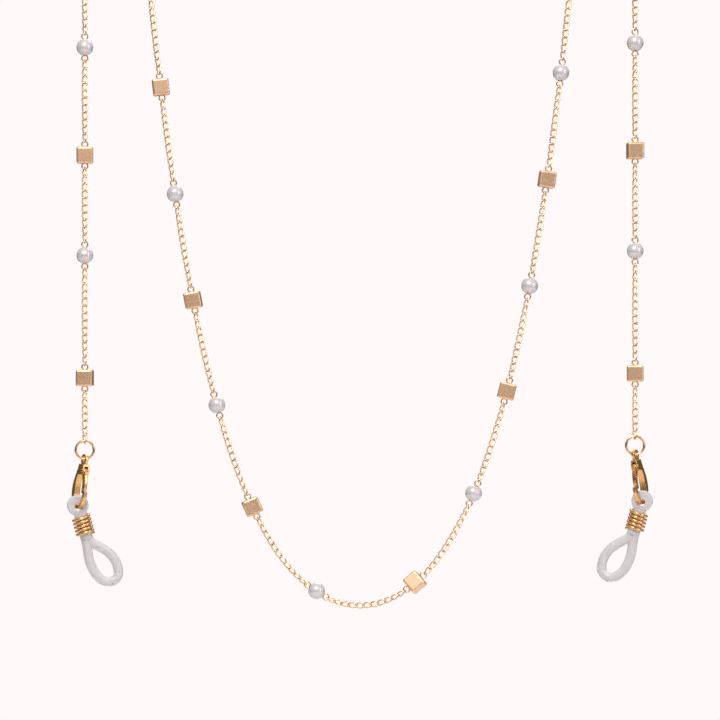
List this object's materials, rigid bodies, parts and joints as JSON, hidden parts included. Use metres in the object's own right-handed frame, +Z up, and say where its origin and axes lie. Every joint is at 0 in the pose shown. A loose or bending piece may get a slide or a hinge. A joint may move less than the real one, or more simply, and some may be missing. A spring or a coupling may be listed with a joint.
{
  "type": "eyeglasses chain strap",
  "caption": "Strap of fine curb chain with pearl and cube beads, a lobster clasp and a silicone temple loop at each end, hanging over two rests.",
  "frame": {"origin": "midway between the two rests that the strap hangs over, at the height of their centres", "axes": "+Z up, +X to the right across the strap as it is seen from the front, +Y away from the viewer"},
  "size_m": [0.1394, 0.0062, 0.183],
  "materials": {
    "chain_gold": "polished light rose gold plate",
    "bead_gold": "satin brushed rose gold plate",
    "clasp_gold": "polished yellow gold plate",
    "spring_steel": "bright",
    "pearl": "pearl lustre",
    "silicone": "translucent milky silicone"
  },
  "bodies": {
    "top": {"top_links": "chain_gold", "top_pins": "chain_gold", "top_pearls": "pearl", "top_cubes": "bead_gold"},
    "drape": {"drape_links_right_low": "chain_gold", "drape_links_right_high": "chain_gold", "drape_pins_right": "chain_gold", "drape_links_left_low": "chain_gold", "drape_links_left_high": "chain_gold", "drape_pins_left": "chain_gold"},
    "strand_left_1": {"strand_links_left_1": "chain_gold", "strand_pin_left_1": "chain_gold"},
    "pearl_left_1": {"strand_pearl_left_1": "pearl"},
    "strand_left_2": {"strand_links_left_2": "chain_gold", "strand_pin_left_2": "chain_gold"},
    "cube_left_2": {"strand_cube_left_2": "bead_gold"},
    "strand_left_3": {"strand_links_left_3": "chain_gold", "strand_pin_left_3": "chain_gold"},
    "pearl_left_3": {"strand_pearl_left_3": "pearl"},
    "strand_left_4": {"strand_links_left_4": "chain_gold", "strand_pin_left_4": "chain_gold"},
    "cube_left_4": {"strand_cube_left_4": "bead_gold"},
    "ring_left": {"jump_ring_left": "chain_gold"},
    "clasp_left": {"clasp_body_left": "clasp_gold", "clasp_rivet_left": "clasp_gold", "clasp_spring_left": "spring_steel"},
    "lever_left": {"clasp_lever_left": "clasp_gold"},
    "loop_left": {"temple_loop_left": "silicone"},
    "coil_left": {"coil_left": "clasp_gold"},
    "strand_right_1": {"strand_links_right_1": "chain_gold", "strand_pin_right_1": "chain_gold"},
    "pearl_right_1": {"strand_pearl_right_1": "pearl"},
    "strand_right_2": {"strand_links_right_2": "chain_gold", "strand_pin_right_2": "chain_gold"},
    "cube_right_2": {"strand_cube_right_2": "bead_gold"},
    "strand_right_3": {"strand_links_right_3": "chain_gold", "strand_pin_right_3": "chain_gold"},
    "pearl_right_3": {"strand_pearl_right_3": "pearl"},
    "strand_right_4": {"strand_links_right_4": "chain_gold", "strand_pin_right_4": "chain_gold"},
    "cube_right_4": {"strand_cube_right_4": "bead_gold"},
    "ring_right": {"jump_ring_right": "chain_gold"},
    "clasp_right": {"clasp_body_right": "clasp_gold", "clasp_rivet_right": "clasp_gold", "clasp_spring_right": "spring_steel"},
    "lever_right": {"clasp_lever_right": "clasp_gold"},
    "loop_right": {"temple_loop_right": "silicone"},
    "coil_right": {"coil_right": "clasp_gold"},
    "drape_cube_right_1": {"drape_cube_right_1": "bead_gold"},
    "drape_pearl_right_2": {"drape_pearl_right_2": "pearl"},
    "drape_cube_right_3": {"drape_cube_right_3": "bead_gold"},
    "drape_pearl_right_4": {"drape_pearl_right_4": "pearl"},
    "drape_cube_right_5": {"drape_cube_right_5": "bead_gold"},
    "drape_pearl_right_6": {"drape_pearl_right_6": "pearl"},
    "drape_pearl_left_1": {"drape_pearl_left_1": "pearl"},
    "drape_cube_left_2": {"drape_cube_left_2": "bead_gold"},
    "drape_pearl_left_3": {"drape_pearl_left_3": "pearl"},
    "drape_cube_left_4": {"drape_cube_left_4": "bead_gold"},
    "drape_pearl_left_5": {"drape_pearl_left_5": "pearl"},
    "drape_cube_left_6": {"drape_cube_left_6": "bead_gold"}
  },
  "joints": [
    {"name": "drape_swing", "type": "hinge", "parent": "top", "child": "drape", "pos_m": [0.00018, 0, -0.02794], "axis": [0.9994, 0, 0.0343], "range_deg": [-60, 60]},
    {"name": "lever_left", "type": "hinge", "parent": "clasp_left", "child": "lever_left", "pos_m": [-0.06553, -0.00055, -0.14315], "axis": [0.8305, 0.5446, -0.1167], "range_deg": [0, 25], "stiffness_Nm_per_rad": 0.003, "springref_deg": -11.46, "deforming": ["clasp_spring_left"]},
    {"name": "lever_right", "type": "hinge", "parent": "clasp_right", "child": "lever_right", "pos_m": [0.06553, -0.00055, -0.14208], "axis": [0.8305, -0.5446, 0.1167], "range_deg": [0, 25], "stiffness_Nm_per_rad": 0.003, "springref_deg": -11.46, "deforming": ["clasp_spring_right"]},
    {"name": "loop_swing_left", "type": "hinge", "parent": "clasp_left", "child": "loop_left", "pos_m": [-0.06705, -0.00008, -0.15182], "axis": [0.2588, -0.9659, 0], "range_deg": [-25, 25]},
    {"name": "loop_swing_right", "type": "hinge", "parent": "clasp_right", "child": "loop_right", "pos_m": [0.06705, -0.00008, -0.15076], "axis": [0.2588, 0.9659, 0], "range_deg": [-25, 25]},
    {"name": "coil_slide_left", "type": "slide", "parent": "loop_left", "child": "coil_left", "axis": [0.2565, 0.0687, -0.9641], "range_m": [0, 0.0006]},
    {"name": "coil_slide_right", "type": "slide", "parent": "loop_right", "child": "coil_right", "axis": [-0.2565, 0.0687, -0.9641], "range_m": [0, 0.0006]},
    {"name": "clasp_swing_left", "type": "hinge", "parent": "ring_left", "child": "clasp_left", "pos_m": [-0.0655, 0, -0.14037], "axis": [1, 0, 0], "range_deg": [-35, 35]},
    {"name": "clasp_swing_right", "type": "hinge", "parent": "ring_right", "child": "clasp_right", "pos_m": [0.0655, 0, -0.13931], "axis": [1, 0, 0], "range_deg": [-35, 35]},
    {"name": "ring_tilt_left", "type": "hinge", "parent": "strand_left_4", "child": "ring_left", "pos_m": [-0.0655, 0, -0.13607], "axis": [1, 0, 0], "range_deg": [-35, 35]},
    {"name": "ring_tilt_right", "type": "hinge", "parent": "strand_right_4", "child": "ring_right", "pos_m": [0.0655, 0, -0.13501], "axis": [1, 0, 0], "range_deg": [-35, 35]},
    {"name": "strand_swing_left_1", "type": "hinge", "parent": "top", "child": "strand_left_1", "pos_m": [-0.0655, 0, -0.03907], "axis": [1, 0, 0], "range_deg": [-35, 35]},
    {"name": "strand_swing_left_2", "type": "hinge", "parent": "strand_left_1", "child": "strand_left_2", "pos_m": [-0.0655, 0, -0.06471], "axis": [1, 0, 0], "range_deg": [-35, 35]},
    {"name": "strand_swing_left_3", "type": "hinge", "parent": "strand_left_2", "child": "strand_left_3", "pos_m": [-0.0655, 0, -0.0886], "axis": [1, 0, 0], "range_deg": [-35, 35]},
    {"name": "strand_swing_left_4", "type": "hinge", "parent": "strand_left_3", "child": "strand_left_4", "pos_m": [-0.0655, 0, -0.11776], "axis": [1, 0, 0], "range_deg": [-35, 35]},
    {"name": "strand_swing_right_1", "type": "hinge", "parent": "top", "child": "strand_right_1", "pos_m": [0.0655, 0, -0.038], "axis": [1, 0, 0], "range_deg": [-35, 35]},
    {"name": "strand_swing_right_2", "type": "hinge", "parent": "strand_right_1", "child": "strand_right_2", "pos_m": [0.0655, 0, -0.06365], "axis": [1, 0, 0], "range_deg": [-35, 35]},
    {"name": "strand_swing_right_3", "type": "hinge", "parent": "strand_right_2", "child": "strand_right_3", "pos_m": [0.0655, 0, -0.08753], "axis": [1, 0, 0], "range_deg": [-35, 35]},
    {"name": "strand_swing_right_4", "type": "hinge", "parent": "strand_right_3", "child": "strand_right_4", "pos_m": [0.0655, 0, -0.1167], "axis": [1, 0, 0], "range_deg": [-35, 35]},
    {"name": "spin_pearl_left_1", "type": "hinge", "parent": "strand_left_1", "child": "pearl_left_1", "pos_m": [-0.0655, 0, -0.0424], "axis": [0, 0, 1], "continuous": true},
    {"name": "spin_cube_left_2", "type": "hinge", "parent": "strand_left_2", "child": "cube_left_2", "pos_m": [-0.0655, 0, -0.06804], "axis": [0, 0, 1], "continuous": true},
    {"name": "spin_pearl_left_3", "type": "hinge", "parent": "strand_left_3", "child": "pearl_left_3", "pos_m": [-0.0655, 0, -0.09193], "axis": [0, 0, 1], "continuous": true},
    {"name": "spin_cube_left_4", "type": "hinge", "parent": "strand_left_4", "child": "cube_left_4", "pos_m": [-0.0655, 0, -0.12109], "axis": [0, 0, 1], "continuous": true},
    {"name": "spin_pearl_right_1", "type": "hinge", "parent": "strand_right_1", "child": "pearl_right_1", "pos_m": [0.0655, 0, -0.04133], "axis": [0, 0, 1], "continuous": true},
    {"name": "spin_cube_right_2", "type": "hinge", "parent": "strand_right_2", "child": "cube_right_2", "pos_m": [0.0655, 0, -0.06698], "axis": [0, 0, 1], "continuous": true},
    {"name": "spin_pearl_right_3", "type": "hinge", "parent": "strand_right_3", "child": "pearl_right_3", "pos_m": [0.0655, 0, -0.09086], "axis": [0, 0, 1], "continuous": true},
    {"name": "spin_cube_right_4", "type": "hinge", "parent": "strand_right_4", "child": "cube_right_4", "pos_m": [0.0655, 0, -0.12003], "axis": [0, 0, 1], "continuous": true},
    {"name": "spin_drape_cube_right_1", "type": "hinge", "parent": "drape", "child": "drape_cube_right_1", "pos_m": [0.01308, 0, -0.16976], "axis": [-0.7596, 0, -0.6504], "continuous": true},
    {"name": "spin_drape_pearl_right_2", "type": "hinge", "parent": "drape", "child": "drape_pearl_right_2", "pos_m": [0.02703, 0, -0.14856], "axis": [-0.388, 0, -0.9217], "continuous": true},
    {"name": "spin_drape_cube_right_3", "type": "hinge", "parent": "drape", "child": "drape_cube_right_3", "pos_m": [0.03496, 0, -0.1242], "axis": [-0.2487, 0, -0.9686], "continuous": true},
    {"name": "spin_drape_pearl_right_4", "type": "hinge", "parent": "drape", "child": "drape_pearl_right_4", "pos_m": [0.04039, 0, -0.09914], "axis": [-0.1817, 0, -0.9834], "continuous": true},
    {"name": "spin_drape_cube_right_5", "type": "hinge", "parent": "drape", "child": "drape_cube_right_5", "pos_m": [0.04452, 0, -0.07383], "axis": [-0.1428, 0, -0.9898], "continuous": true},
    {"name": "spin_drape_pearl_right_6", "type": "hinge", "parent": "drape", "child": "drape_pearl_right_6", "pos_m": [0.04784, 0, -0.0484], "axis": [-0.1175, 0, -0.9931], "continuous": true},
    {"name": "spin_drape_pearl_left_1", "type": "hinge", "parent": "drape", "child": "drape_pearl_left_1", "pos_m": [-0.01032, 0, -0.17181], "axis": [0.8378, 0, -0.5459], "continuous": true},
    {"name": "spin_drape_cube_left_2", "type": "hinge", "parent": "drape", "child": "drape_cube_left_2", "pos_m": [-0.02563, 0, -0.15172], "axis": [0.4184, 0, -0.9082], "continuous": true},
    {"name": "spin_drape_pearl_left_3", "type": "hinge", "parent": "drape", "child": "drape_pearl_left_3", "pos_m": [-0.03407, 0, -0.12754], "axis": [0.2616, 0, -0.9652], "continuous": true},
    {"name": "spin_drape_cube_left_4", "type": "hinge", "parent": "drape", "child": "drape_cube_left_4", "pos_m": [-0.03975, 0, -0.10254], "axis": [0.1886, 0, -0.9821], "continuous": true},
    {"name": "spin_drape_pearl_left_5", "type": "hinge", "parent": "drape", "child": "drape_pearl_left_5", "pos_m": [-0.04402, 0, -0.07726], "axis": [0.1471, 0, -0.9891], "continuous": true},
    {"name": "spin_drape_cube_left_6", "type": "hinge", "parent": "drape", "child": "drape_cube_left_6", "pos_m": [-0.04742, 0, -0.05184], "axis": [0.1204, 0, -0.9927], "continuous": true}
  ]
}
